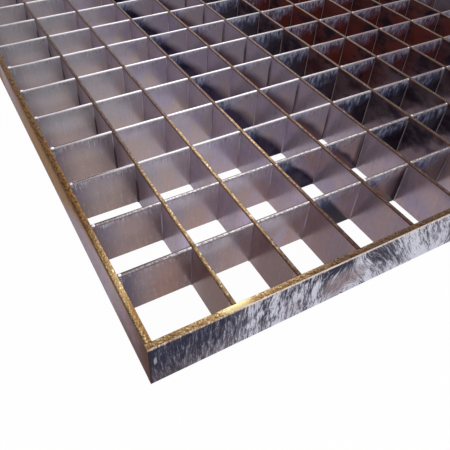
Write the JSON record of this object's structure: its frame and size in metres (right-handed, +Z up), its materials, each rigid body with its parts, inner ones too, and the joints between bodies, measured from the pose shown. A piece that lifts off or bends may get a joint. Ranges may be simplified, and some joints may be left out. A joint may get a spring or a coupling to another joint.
{
  "type": "steel grating panel",
  "caption": "Flat open-mesh grating panel: upright flat bars crossing at right angles in a square mesh, framed all round by flat banding bars.",
  "frame": {"origin": "middle of the underside, on the surface that the panel lies on", "axes": "+Z up to the walking side, +X along the front edge, +Y along the bearing bars"},
  "size_m": [0.49, 0.79, 0.025],
  "materials": {
    "grid_bars": "satin rolled and dipped steel, mauve-grey walls with frosty zinc streaks and brass-coloured top edges",
    "banding": "spangled zinc with steep feathery streaks, brass-coloured top edge"
  },
  "bodies": {
    "root": {"bar_grid": "grid_bars", "front_band": "banding", "back_band": "banding", "left_band": "banding", "right_band": "banding"}
  },
  "joints": []
}
